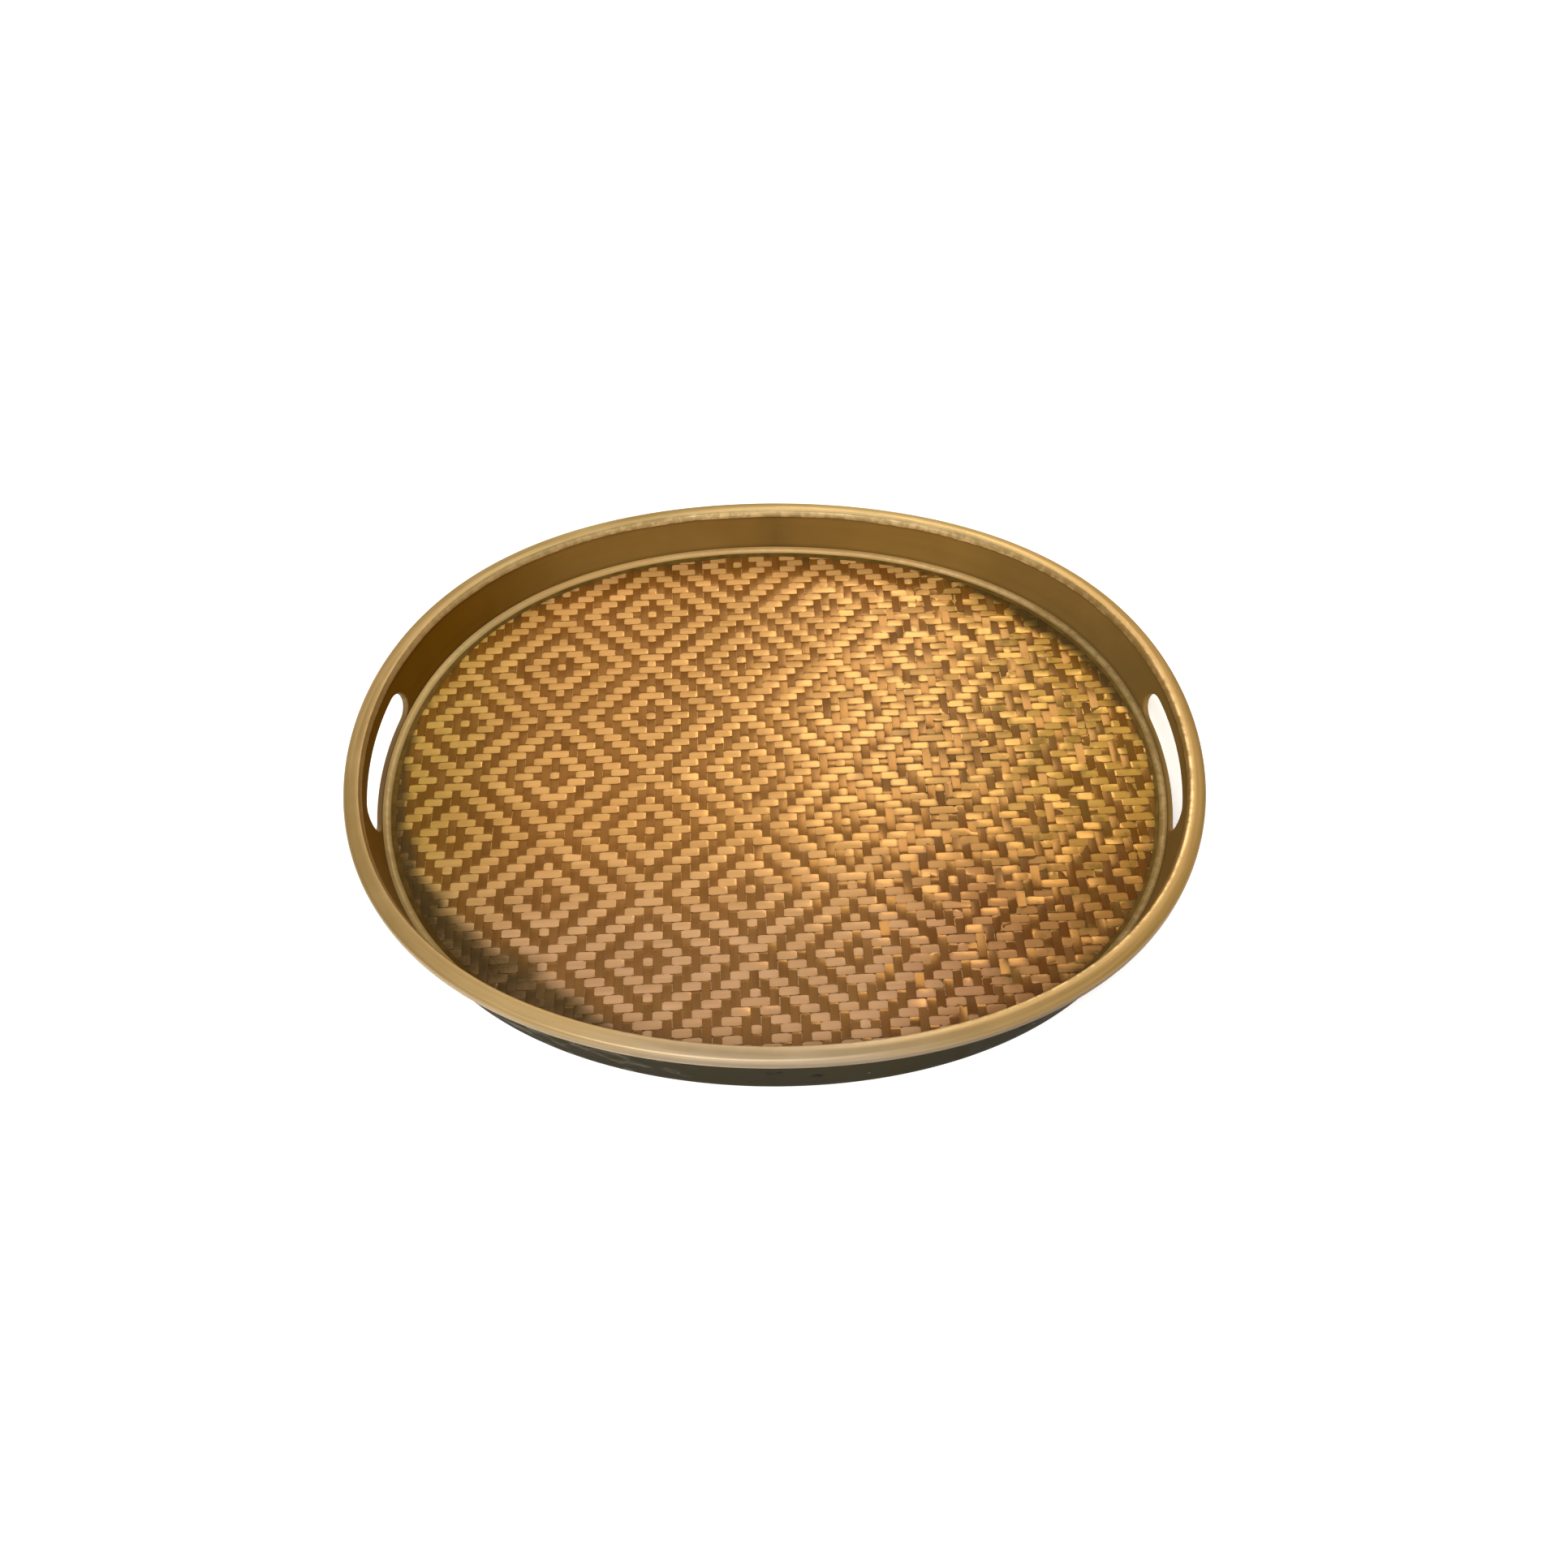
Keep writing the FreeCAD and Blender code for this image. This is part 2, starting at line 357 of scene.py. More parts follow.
UNDERSIDE_DUST = (0.070, 0.058, 0.040)
STEEL_GREYS = ((0.22, 0.20, 0.18), (0.34, 0.32, 0.29))
PUTTY_BLACKS = ((0.010, 0.008, 0.005), (0.024, 0.020, 0.014))

# Painted light and shade, as colour multiplied by place over the tray: axis, start and full place
# in metres, and tint
# Rim and bead: lighter at the back as a painted highlight, darker at the right as painted shade
RIM_LIGHT_TINTS = (("Y", 0.09, 0.17, (1.12, 1.20, 1.26)), ("X", 0.08, 0.20, (0.84, 0.77, 0.56)))
BEAD_LIGHT_TINTS = (("X", 0.10, 0.20, (0.50, 0.45, 0.35)), ("Y", 0.09, 0.16, (1.32, 1.16, 1.05)))
# Inner wall: painted shade at the left, a little darker and cooler at the right; outer wall:
# painted shade at the right
INNER_LIGHT_TINTS = (("X", -0.10, -0.21, (0.62, 0.48, 0.06)), ("X", 0.10, 0.20, (0.84, 0.88, 1.02)))
OUTER_SHADE_TINTS = (("X", 0.03, 0.12, (0.66, 0.60, 0.30)),)
# Mat: darker and more olive at both ends, partly the cane's own tone, partly painted shade; cooler
# at the front, a painted sheen
MAT_TONE_AND_LIGHT_TINTS = (("X", -0.125, -0.215, (0.76, 0.86, 0.60)), ("X", 0.060, 0.185, (0.83, 0.88, 0.50)),
             ("Y", -0.030, -0.140, (0.89, 0.98, 1.62)))


def gold_lacquer(name, light, middle, deep, worn_and_lit_gold, gloss, sheen_tint=NO_TINT, tints=()):
    """Hand-brushed gold lacquer: streaks along the strip, cloudy tone, and worn edges that also
    carry painted highlight.

    Wear above 0.9 gets a brighter painted highlight, and the sheen tint grows in at the middle of
    the tray's front as a painted sheen.
    """
    g = Graph(name)
    streaks = g.noise(g.streak(14.0, 430.0), 1.0, 3.0, 0.55, 0.2)
    broad = g.noise(g.streak(7.0, 210.0), 1.0, 2.0, 0.5)
    cloud = g.cloud(26.0, 3.0, 0.55)
    fine = g.cloud(900.0, 4.0, 0.7)
    colour = g.mix(g.band(streaks, 0.30, 0.72), middle, light)
    colour = g.mix(g.band(broad, 0.42, 0.64, 0.0, 0.80), colour, deep)
    colour = g.mix(g.band(cloud, 0.35, 0.75, 0.0, 0.35), colour, light)
    colour = g.tinted(colour, tints)
    # Painted shade: low on the rim's outside, and in the slot's edge near the bead
    colour = g.mix(g.attribute("grime"), colour, GOLD_PAINTED_SHADE)
    broken = g.band(g.cloud(190.0, 5.0, 0.65), 0.44, 0.58, 0.22, 1.0)
    worn_and_lit = g.times(g.attribute("wear"), broken)
    colour = g.mix(worn_and_lit, colour, worn_and_lit_gold)
    # Painted highlight: the strongest wear is made brighter still, where edges catch the light
    painted_highlight = g.times(g.band(g.attribute("wear"), 0.9, 1.7), g.band(broken, 0.2, 0.5))
    colour = g.mix(painted_highlight, colour, HIGHLIGHT_GOLD)
    # Painted sheen: a cooler, paler tint at the middle of the tray's front
    front = g.band(g.axis("Y"), -0.155, -0.182)
    middle_share = g.band(g.math("ABSOLUTE", g.axis("X")), 0.125, 0.02)
    colour = g.mix(g.times(front, middle_share), colour, sheen_tint, "MULTIPLY")
    rough = g.mix(worn_and_lit, g.band(streaks, 0.2, 0.8, 0.33, 0.50), WORN_ROUGHNESS)
    rough = g.mix(g.attribute("grime"), rough, SHADE_ROUGHNESS)
    height = g.math("ADD", g.times(streaks, 0.6), g.times(fine, 0.25))
    return g.finish(colour, rough, height, 0.30, 0.0004, Metallic=0.25 * gloss,
                    Specular_IOR_Level=0.5 * gloss, Coat_Weight=0.12 * gloss, Coat_Roughness=0.26)


def inner_wall_lacquer():
    """Smooth gold-brown lacquer inside the wall, with painted shade in its corners and towards its
    left end.
    """
    g = Graph("wall_inner_lacquer")
    cloud = g.cloud(18.0, 4.0, 0.55, 0.4)
    grain = g.noise(g.streak(9.0, 260.0), 1.0, 3.0, 0.6, 0.2)
    speck = g.cloud(700.0, 3.0, 0.6)
    colour = g.mix(g.band(cloud, 0.3, 0.72), *INNER_BROWNS)
    colour = g.mix(g.band(grain, 0.45, 0.70, 0.0, 0.16), colour, INNER_GRAIN)
    colour = g.tinted(colour, INNER_LIGHT_TINTS)
    colour = g.mix(g.attribute("grime"), colour, INNER_SHADE_AND_GRIME)
    rough = g.band(cloud, 0.2, 0.8, 0.38, 0.50)
    height = g.math("ADD", g.times(grain, 0.3), g.times(speck, 0.2))
    return g.finish(colour, rough, height, 0.12, 0.0003, Specular_IOR_Level=0.12)


def outer_wall_lacquer():
    """Black lacquer with an olive cast, pale scuffs at the left front and dark dabs, and painted
    shade under the rim and towards the right.
    """
    g = Graph("wall_outer_lacquer")
    cloud = g.cloud(30.0, 4.0, 0.6, 0.5)
    spots = g.cloud(160.0, 5.0, 0.7)
    scuff = g.noise(g.place(55.0, 55.0, 120.0), 1.0, 4.0, 0.65, 0.8)
    dab = g.cloud(75.0, 2.0, 0.5)
    colour = g.mix(g.band(cloud, 0.3, 0.75), *OUTER_BLACKS)
    colour = g.mix(g.band(spots, 0.62, 0.74, 0.0, 0.35), colour, OUTER_SPOT)
    left_front = g.times(g.band(g.axis("X"), -0.03, -0.09), g.band(g.axis("Y"), -0.10, -0.13))
    pale = g.times(g.band(scuff, 0.52, 0.66), g.times(left_front, 0.55))
    colour = g.mix(pale, colour, OUTER_SCUFF)
    colour = g.mix(g.band(dab, 0.66, 0.74, 0.0, 0.75), colour, OUTER_DAB)
    colour = g.tinted(colour, OUTER_SHADE_TINTS)
    colour = g.mix(g.attribute("grime"), colour, OUTER_SHADE_AND_GRIME)
    rough = g.band(cloud, 0.2, 0.8, 0.36, 0.58)
    return g.finish(colour, rough, spots, 0.18, 0.0003, Specular_IOR_Level=0.012)


def splint_lacquer(name, light, middle, deep, shine):
    """Split cane under clear lacquer: fibres along the strand, whose tone is its own, with painted
    shade and shadow.
    """
    g = Graph(name)
    fibre = g.noise(g.uv(70.0, 2600.0), 1.0, 4.0, 0.65)
    patch = g.noise(g.uv(16.0, 160.0), 1.0, 2.0, 0.5)
    cloud = g.cloud(14.0, 3.0, 0.55)
    tone = g.attribute("tone")
    share = g.math("ADD", g.band(fibre, 0.3, 0.7, 0.0, 0.30), g.times(tone, 0.70))
    colour = g.mix(share, middle, light)
    colour = g.mix(g.band(patch, 0.40, 0.70, 0.0, 0.50), colour, deep)
    colour = g.mix(g.band(cloud, 0.40, 0.70, 0.0, 0.30), colour, deep)
    colour = g.tinted(colour, MAT_TONE_AND_LIGHT_TINTS)
    right_front = g.times(g.band(g.axis("X"), 0.03, 0.14), g.band(g.axis("Y"), 0.0, -0.09))
    colour = g.mix(right_front, colour, RIGHT_FRONT_TINT, "MULTIPLY")
    # Dark patches in a band at the right of the mat
    dark_patch = g.band(g.cloud(75.0, 3.0, 0.6), 0.50, 0.68, 0.0, 0.55)
    dark_patch = g.times(dark_patch, g.band(g.axis("X"), 0.085, 0.155))
    colour = g.mix(dark_patch, colour, SPLINT_DARK_PATCH)
    # Painted shade in the gaps between strands and where a strand passes under
    colour = g.mix(g.attribute("edge"), colour, SPLINT_GAP_SHADE)
    blotch = g.band(g.cloud(150.0, 4.0, 0.6), 0.30, 0.62, 0.86, 1.0)
    # Painted shadow of the wall along the bead, broken up by a cloud
    colour = g.mix(g.times(g.attribute("stain"), blotch), colour, SPLINT_WALL_SHADOW)
    rough = g.band(fibre, 0.2, 0.8, 0.15, 0.21)
    return g.finish(colour, rough, fibre, 0.14, 0.00015, g.tipped("tip"),
                    Specular_IOR_Level=shine, Specular_Tint=SPLINT_GLINT,
                    Coat_Weight=0.14, Coat_Roughness=0.32, Coat_Tint=SPLINT_COAT)


def mottled(name, scale, detail, shades, limits, rough, strength, depth, **fixed):
    """Material whose colour, roughness and bump follow one cloudy noise."""
    g = Graph(name)
    cloud = g.cloud(scale, detail, 0.6)
    colour = g.mix(g.band(cloud, *limits), *shades)
    return g.finish(colour, g.band(cloud, 0.2, 0.8, *rough), cloud, strength, depth, **fixed)


def underside_lacquer():
    """Thin black lacquer over plain boards, with the grain showing."""
    g = Graph("underside_lacquer")
    grain = g.noise(g.place(12.0, 420.0, 12.0), 1.0, 5.0, 0.6, 0.4)
    cloud = g.cloud(22.0, 3.0, 0.55)
    colour = g.mix(g.band(grain, 0.35, 0.70), *UNDERSIDE_BLACKS)
    colour = g.mix(g.band(cloud, 0.45, 0.75, 0.0, 0.5), colour, UNDERSIDE_DUST)
    rough = g.band(cloud, 0.2, 0.8, 0.42, 0.62)
    return g.finish(colour, rough, grain, 0.3, 0.0004, Specular_IOR_Level=0.35)


# Its sheen tint, (0.98, 1.10, 1.75), is a painted sheen on the front of the rim
RIM_GOLD = gold_lacquer("rim_gold", (0.430, 0.292, 0.116), (0.350, 0.228, 0.078),
                        (0.235, 0.145, 0.038), (0.850, 0.610, 0.285), 1.0, (0.98, 1.10, 1.75),
                        RIM_LIGHT_TINTS)
BEAD_GOLD = gold_lacquer("bead_gold", (0.430, 0.310, 0.132), (0.375, 0.262, 0.100),
                         (0.300, 0.203, 0.072), (0.500, 0.375, 0.170), 0.25, tints=BEAD_LIGHT_TINTS)
# Lighter gold for the left slot's edge: painted light, where the slot's floor shows lit
LIT_SLOT_GOLD = gold_lacquer("slot_edge_painted_light", (0.340, 0.232, 0.108), (0.290, 0.190, 0.080),
                         (0.210, 0.130, 0.048), (0.400, 0.285, 0.140), 0.25)
WALL_INNER = inner_wall_lacquer()
WALL_OUTER = outer_wall_lacquer()
LIGHT_SPLINT = splint_lacquer("light_splints", (0.580, 0.330, 0.120), (0.480, 0.262, 0.084),
                              (0.375, 0.195, 0.055), 0.55)
DARK_SPLINT = splint_lacquer("dark_splints", (0.205, 0.082, 0.013), (0.165, 0.063, 0.008),
                             (0.120, 0.046, 0.005), 0.46)
# A dark strip on the mat along the bead: painted shadow
SHADOW_STRIP = mottled("bead_shadow_strip", 120.0, 4.0, SHADOW_STRIP_BROWNS, (0.35, 0.70), (0.40, 0.6),
                 0.3, 0.0003, Specular_IOR_Level=0.02)
UNDERSIDE = underside_lacquer()
STEEL = mottled("brad_steel", 1500.0, 3.0, STEEL_GREYS, (0.3, 0.7), (0.35, 0.5),
                0.2, 0.0001, Metallic=1.0)
PUTTY = mottled("brad_putty", 800.0, 3.0, PUTTY_BLACKS, (0.3, 0.7), (0.5, 0.7), 0.2, 0.0001)


# ---- rim ----

RIM_STATIONS = 520


def lip_end(angle):
    """Height at which the rim's lip ends on the wall, uneven as hand work is."""
    even = 0.42 * waves(angle, 11, 6, 40, 12)
    scallops = (0.55 + 0.45 * waves(angle, 12, 2, 6, 4)) * 0.34 * waves(angle, 13, 80, 150, 12)
    return LIP_BOTTOM + np.clip(even + scallops, -0.9, 0.9)


def rim_section(angle):
    """Rounded cap moulding: from its underside up the outside and down to the inner lip.

    Small waves in its swell, its low edge and its lip make it look worked by hand.
    """
    inner, top = RIM_SECTION_WIDTH, TRAY_HEIGHT
    swell = 0.10 * waves(angle, 21, 12, 60, 10)
    low_edge = 0.16 * waves(angle, 22, 80, 160, 12) * (0.6 + 0.4 * waves(angle, 23, 2, 7, 4))
    lip = float(lip_end(angle))
    face = float(wall_inside(lip, angle))
    low = (0.95, RIM_BOTTOM + max(0.0, 0.12 + low_edge))
    brow = (0.02, top - 2.8)
    points = [(float(wall_outside(RIM_BOTTOM, angle)), RIM_BOTTOM + 0.1)]
    points += [(4.0, RIM_BOTTOM + 0.05), low]
    points += arc(low, (0.28 + swell * 0.2, RIM_BOTTOM + 0.38), (0.03, RIM_BOTTOM + 1.1), 5)
    points += [(0.0, RIM_BOTTOM + 3.6), brow]
    points += arc(brow, (0.78, top - 0.92), (2.6, top - 0.17 - 0.2 * abs(swell)), 6)
    crown = (5.0, top - 0.02 - 0.25 * abs(swell))
    face_width = 1.3 + 1.2 * float(lobe(angle, 90, 62))
    shoulder = (inner - face_width, top - 0.36 + 0.3 * min(swell, 0.0))
    points += arc(points[-1], crown, shoulder, 6)
    bulge = inner + 0.05 + 0.5 * swell
    turn = (shoulder[0] + 0.60, shoulder[1] - 0.56)
    points += arc(shoulder, (shoulder[0] + 0.37, shoulder[1] - 0.18), turn, 3)
    points += arc(turn, (bulge - 0.30, lip + 1.85), (bulge, lip + 0.35), 5)
    points += [(bulge - 0.12, lip + 0.08), (face, lip)]
    points += [(float(edge(WALL_TOP, angle)), WALL_TOP) for edge in (wall_inside, wall_outside)]
    return points


# Places along the section, as point numbers
LOW_EDGE_POINT = 4.5  # rounded low edge outside
SHADE_END_POINT = 9.6  # where the painted shade below the brow ends
RIDGE_POINT = 22.6  # ridge at the inner shoulder
FACE_POINT = 26.5  # inner face
LIP_POINT = 29.4  # the lip's lower edge


def rim_wear_and_highlight(angle, point):
    """Most at the ridge, the inner face and lip, and the low edge outside: wear and painted
    highlight.
    """
    low = hump(point, LOW_EDGE_POINT, 2.0) * (0.05 + 0.85 * lobe(angle, 238, 26))
    # The strong ridge at the right front and the lip at the back are mostly painted highlight
    ridge = hump(point, RIDGE_POINT, 1.6) * (0.15 + 2.3 * lobe(angle, -22, 38))
    face = 0.8 * hump(point, FACE_POINT, 2.4) * lobe(angle, 90, 60)
    lip = hump(point, LIP_POINT, 1.3) * (0.45 + 1.10 * lobe(angle, 75, 55))
    return np.clip(low + ridge + face + lip, 0, 2.5) * (0.75 + 0.35 * waves(angle, 31, 3, 9, 5))


def rim_painted_shade(angle, point):
    """Painted shade low on the outside, under the rim's swell, most at the front right."""
    below = 1 / (1 + np.exp(point - SHADE_END_POINT))
    return np.clip(below * (0.15 + 0.80 * lobe(angle, -50, 34)), 0, 1)


for side, start in (("left", 0.25), ("right", -0.25)):
    sweep(f"rim_{side}_gold", rim_section, start, RIM_STATIONS, [RIM_GOLD],
          [f"rim_{side}_half"], {"wear": rim_wear_and_highlight, "grime": rim_painted_shade})


# ---- wall ----

PATCH_HALF_LENGTH = 60.0  # the patch is the part of the wall round a hand slot
PATCH_COLUMNS = 44
PATCH_ROWS = 14
PATCH_RINGS = 6
WALL_COLUMNS = 72
SLOT_ROUND_STEPS = 4
FOOT_ROUND_STEPS = 3
JOINT_CHAMFER = 0.04  # depth of the groove at a joint of the wall, and where it starts
JOINT_GAP = 0.35
INSIDE, OUTSIDE, SLOT_EDGE = range(3)  # which of the wall's three finishes a face has


def angle_at(across, height, share):
    """Turn from the right-hand end, in radians, at which the wall is across mm off the
    centre line; share says how deep in the wall.
    """
    turn = np.zeros_like(across)
    for _ in range(30):
        inset = wall_outside(height, turn) + share * WALL_THICKNESS
        s = across / ((HALF_WIDTH - inset) * (1 + SHOULDER * np.cos(turn) ** 2))
        turn = np.arcsin(np.clip(s, -1, 1))
    return turn


def on_wall(turn, height, depth):
    """Plan point and height at a turn from the right-hand end, depth mm into the wall."""
    x, y = oval(wall_outside(height, turn) + depth, turn)
    return np.stack([x, y, height + 0 * x], axis=-1)


def slot_outline(grow):
    """Slot outline, (across, height), with as many points as the patch's outer ring."""
    radius = SLOT_RADIUS + grow
    straight = SLOT_HALF_LENGTH - SLOT_RADIUS
    eighth = radius * TAU / 8
    side_run = np.linspace(-(straight + eighth), straight + eighth, PATCH_COLUMNS + 1)[:-1]
    past = np.clip((np.abs(side_run) - straight) / radius, 0, None)
    top_y = np.where(past > 0, np.sign(side_run) * (straight + radius * np.sin(past)), side_run)
    top_z = radius * np.cos(past)
    end_turn = np.linspace(TAU / 8, -TAU / 8, PATCH_ROWS + 1)[:-1]
    end_y = straight + radius * np.cos(end_turn)
    end_z = radius * np.sin(end_turn)
    y = np.concatenate([top_y, end_y, -top_y, -end_y])
    z = np.concatenate([top_z, end_z, -top_z, -end_z])
    return y, z + SLOT_MIDDLE


def patch_outline():
    """The patch's outer edge, (across, height), in step with the slot's outline."""
    long_run = np.linspace(-1, 1, PATCH_COLUMNS + 1)[:-1] * PATCH_HALF_LENGTH
    short_run = np.linspace(1, 0, PATCH_ROWS + 1)[:-1]
    low, high = FOOT_ROUND, WALL_TOP
    rise = low + (high - low) * short_run
    end = np.full(PATCH_ROWS, PATCH_HALF_LENGTH)
    y = np.concatenate([long_run, end, -long_run, -end])
    z = np.concatenate([np.full(PATCH_COLUMNS, high), rise,
                        np.full(PATCH_COLUMNS, low), high + low - rise])
    return y, z


def edge_rounding(radius, steps):
    """(distance from the flat edge, depth) of points round the wall's two corners."""
    quarter = [TAU / 4 * k / steps for k in range(1, steps + 1)]
    outer = [(radius * (1 - math.sin(t)), radius * (1 - math.cos(t))) for t in quarter]
    return outer + [(away, WALL_THICKNESS - depth) for away, depth in reversed(outer)]


class WallBuilder:
    """Collects the points and faces of one half of the wall, built at the right end."""

    def __init__(self):
        self.points, self.uvs, self.depths, self.faces, self.kinds = [], [], [], [], []

    def add(self, turn, height, depth):
        """Add points on the wall and give back their numbers, in the shape of turn."""
        turn, height = np.broadcast_arrays(np.asarray(turn, float), np.asarray(height, float))
        first = len(self.points)
        xyz = on_wall(turn, height, depth).reshape(-1, 3)
        self.points += xyz.tolist()
        run = turn.ravel() * MEAN_RADIUS
        self.uvs += np.stack([run, height.ravel()], axis=1).tolist()
        self.depths += [depth] * turn.size
        return (first + np.arange(turn.size)).reshape(turn.shape)

    def bridge(self, rows, kind, closed=False, flip=False):
        """Quads between each row of point numbers and the next."""
        for a, b in zip(rows[:-1], rows[1:]):
            count = len(a)
            for k in range(count if closed else count - 1):
                j = (k + 1) % count
                quad = (a[k], a[j], b[j], b[k])
                if len(set(quad)) < 3:
                    continue
                self.faces.append(tuple(int(n) for n in (reversed(quad) if flip else quad)))
                self.kinds.append(kind)


def wall_face(b, depth, inward, kind):
    """One face of the wall: the patch round the slot and the plain stretches beside it.

    Gives back the point numbers of the slot's edge, the foot, the top and the two joints.
    """
    share = depth / WALL_THICKNESS
    inner_y, inner_z = slot_outline(SLOT_EDGE_ROUND)
    outer_y, outer_z = patch_outline()
    rings = []
    for k in range(PATCH_RINGS + 1):
        t = k / PATCH_RINGS
        y = inner_y + (outer_y - inner_y) * t
        z = inner_z + (outer_z - inner_z) * t
        rings.append(b.add(angle_at(y, z, share), z, depth))
    b.bridge(rings, kind, closed=True, flip=inward)
    heights = FOOT_ROUND + (WALL_TOP - FOOT_ROUND) * np.linspace(1, 0, PATCH_ROWS + 1)
    edge = rings[-1]
    corner = PATCH_COLUMNS
    right = edge[corner:corner + PATCH_ROWS + 1]
    left_start = 2 * PATCH_COLUMNS + PATCH_ROWS
    left = np.append(edge[left_start:], edge[0])[::-1]
    last_turn = TAU / 4
    near_joint = last_turn - JOINT_GAP / HALF_LENGTH
    stretches = {}
    for sign, start in ((1, right), (-1, left)):
        begin = angle_at(np.full(PATCH_ROWS + 1, PATCH_HALF_LENGTH), heights, share)
        columns = [start]
        for k in range(1, WALL_COLUMNS + 1):
            turn = begin + (near_joint - begin) * k / WALL_COLUMNS
            columns.append(b.add(sign * turn, heights, depth))
        shrink = JOINT_CHAMFER if depth == 0 else -JOINT_CHAMFER
        columns.append(b.add(np.full(PATCH_ROWS + 1, sign * last_turn), heights, depth + shrink))
        b.bridge(columns, kind, flip=(sign > 0) == inward)
        stretches[sign] = columns
    bottom = edge[corner + PATCH_ROWS:2 * PATCH_COLUMNS + PATCH_ROWS + 1][::-1]
    top = edge[:corner + 1]
    runs = []
    for row, middle in ((-1, bottom), (0, top)):
        before = [column[row] for column in stretches[-1][:0:-1]]
        after = [column[row] for column in stretches[1][1:]]
        runs.append(before + list(middle) + after)
    ends = {sign: stretches[sign][-1] for sign in (1, -1)}
    return rings[0], *runs, ends


def wall_half(side_name, sign, slot_finish):
    """Half of the wall, mirrored to the left where sign is -1, with the material of its slot's
    edge.
    """
    b = WallBuilder()
    outer_slot, outer_low, outer_high, outer_ends = wall_face(b, 0.0, False, OUTSIDE)
    inner_slot, inner_low, inner_high, inner_ends = wall_face(b, WALL_THICKNESS, True, INSIDE)
    rows = [outer_slot]
    for away, depth in edge_rounding(SLOT_EDGE_ROUND, SLOT_ROUND_STEPS):
        y, z = slot_outline(away)
        rows.append(b.add(angle_at(y, z, depth / WALL_THICKNESS), z, depth))
    rows.append(inner_slot)
    b.bridge(rows, SLOT_EDGE, closed=True, flip=True)
    b.bridge([outer_high, inner_high], OUTSIDE)
    low_turn = np.array(b.uvs)[outer_low, 0] / MEAN_RADIUS
    foot = [outer_low]
    for away, depth in edge_rounding(FOOT_ROUND, FOOT_ROUND_STEPS):
        foot.append(b.add(low_turn, away, depth))
    foot.append(inner_low)
    b.bridge(foot, OUTSIDE, flip=True)
    for end in (1, -1):
        b.bridge([outer_ends[end], inner_ends[end]], OUTSIDE, flip=end < 0)
    points = np.array(b.points)
    uvs = np.array(b.uvs)
    from_joint, height = points[:, 0], points[:, 2]
    seam = hump(from_joint, 0.0, 0.9)
    mark = hump(from_joint, 4.0, 9.0) * (points[:, 1] > 0)
    under_rim = hump(height, WALL_TOP, 1.8)
    near_bead = hump(height, BEAD_TOP, 1.2)
    inside = np.array(b.depths) > WALL_THICKNESS / 2
    # Painted shade just under the rim and, inside, along the bead; the dark joint at the middle and
    # the mark beside it are the wall's own
    grime = np.clip(0.10 * seam + 0.45 * under_rim + inside * (0.20 * mark + 0.5 * near_bead), 0, 1)
    points[:, 0] *= sign
    faces = b.faces if sign > 0 else [tuple(reversed(f)) for f in b.faces]
    return make_piece(f"wall_{side_name}_lacquered", points, faces, uvs,
                      [WALL_INNER, WALL_OUTER, slot_finish],
                      [f"wall_{side_name}_half"], b.kinds, {"grime": grime}, sharp_degrees=50.0)


wall_half("right", 1, WALL_INNER)
# The left slot's edge takes the lighter gold, as painted light
wall_half("left", -1, LIT_SLOT_GOLD)


# ---- bead, and a thin dark strip on the mat along it that is painted shadow ----

BEAD_STATIONS = 300
SHADOW_STRIP_STATIONS = 420


def bead_section(angle):
    """Low strip against the wall, rounded down to a thin toe on the mat."""
    foot = float(wall_inside(MAT_TOP, angle))
    back = float(wall_inside(BEAD_TOP, angle))
    width = BEAD_WIDTH + 0.12 * float(waves(angle, 41, 10, 50, 8))
    top = BEAD_TOP - 0.06 - 0.06 * float(waves(angle, 42, 10, 50, 8))
    points = [(foot, MAT_TOP), (back, top - 0.25)]
    points += arc((back, top - 0.25), (back + 0.12, top - 0.06), (back + 0.5, top), 2)
    crest = (back + 1.5, top)
    points.append(crest)
    rise = top - MAT_TOP
    toe = (foot + 0.93 * width, MAT_TOP + 0.42 * rise)
    points += arc(crest, (foot + 0.66 * width, MAT_TOP + 0.80 * rise), toe, 5)
    tip = (foot + width, MAT_TOP + 0.1)
    points += arc(toe, (foot + 0.98 * width, MAT_TOP + 0.25 * rise), tip, 2)
    points.append((foot + width - 0.05, MAT_TOP))
    return points


def bead_wear(angle, point):
    """Most just past the bead's crest."""
    return 0.7 * hump(point, 6.0, 3.0) * (0.6 + 0.4 * waves(angle, 43, 3, 12, 5))


def shadow_strip_section(angle):
    """Thin dark fillet on the mat along the bead, a painted shadow, reaching further out at the
    back and the left.
    """
    foot = float(wall_inside(MAT_TOP, angle)) + BEAD_WIDTH
    uneven = 0.45 * float(waves(angle, 51, 8, 30, 8)) + 0.20 * float(waves(angle, 52, 60, 150, 12))
    reach = 1.5 + 1.2 * lobe(angle, 190, 50) + 1.3 * lobe(angle, 90, 35) + uneven
    return [
        (foot - 0.8, MAT_TOP - 0.25),
        (foot - 0.6, MAT_TOP + 0.42),
        (foot + 0.15, MAT_TOP + 0.26),
        (foot + 0.45 * reach, MAT_TOP + 0.10),
        (foot + reach, MAT_TOP - 0.02),
        (foot + reach + 0.2, MAT_TOP - 0.25),
    ]


for side, start in (("back", 0.0), ("front", 0.5)):
    sweep(f"bead_{side}_gold", bead_section, start, BEAD_STATIONS, [BEAD_GOLD],
          [f"bead_{side}_half"], {"wear": bead_wear})
    sweep(f"painted_shadow_{side}", shadow_strip_section, start, SHADOW_STRIP_STATIONS, [SHADOW_STRIP])


# ---- woven mat ----

WARP_REPEAT = 22
WEFT_REPEAT = 16
